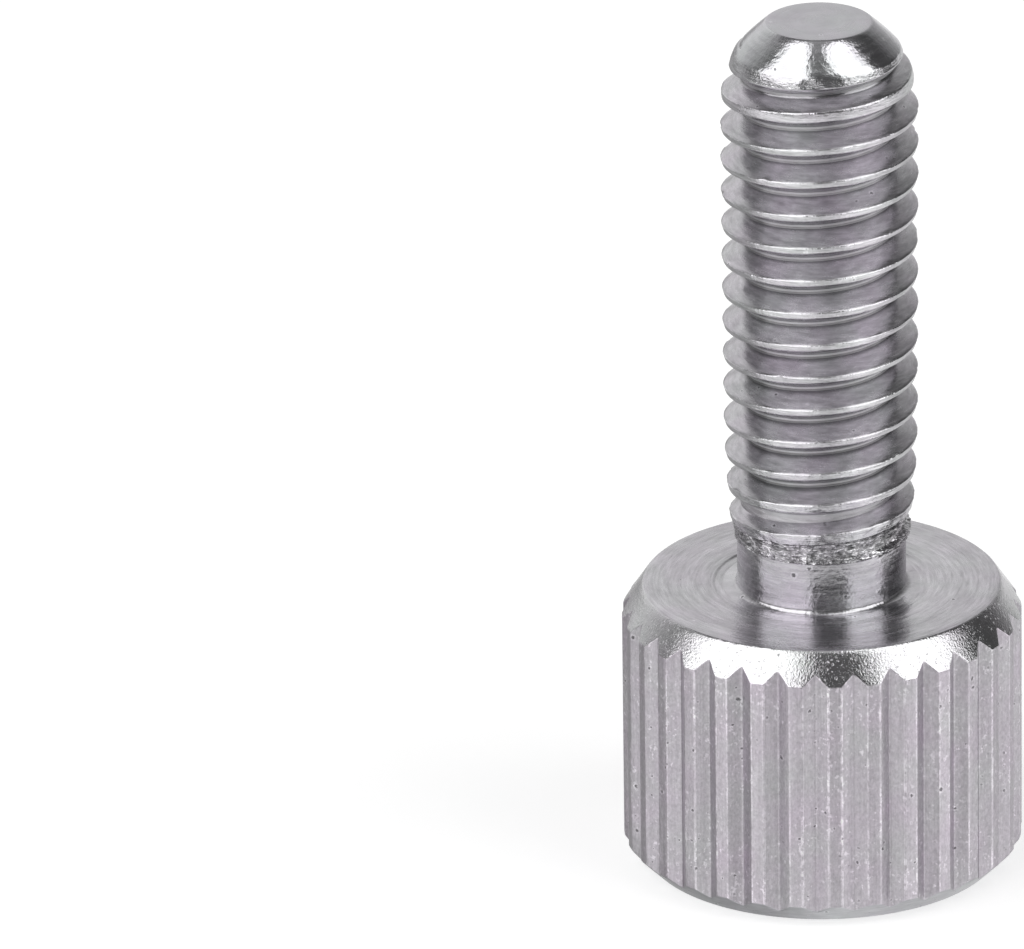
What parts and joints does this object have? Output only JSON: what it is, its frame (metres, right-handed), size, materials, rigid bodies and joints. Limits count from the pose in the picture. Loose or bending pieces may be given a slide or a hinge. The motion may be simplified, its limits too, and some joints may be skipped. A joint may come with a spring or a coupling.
{
  "type": "knurled thumb screw",
  "caption": "Thumb screw with a round straight-knurled head, a short smooth neck and a metric thread that ends in a flat chamfered tip.",
  "frame": {"origin": "centre of the head's end face, which the screw stands on", "axes": "+Z along the screw's axis from the head to the tip"},
  "size_m": [0.008, 0.008, 0.018],
  "materials": {
    "steel": "turned stainless steel, matte on the knurl and bright on the chamfers"
  },
  "bodies": {
    "root": {"thumb_screw": "steel"}
  },
  "joints": []
}
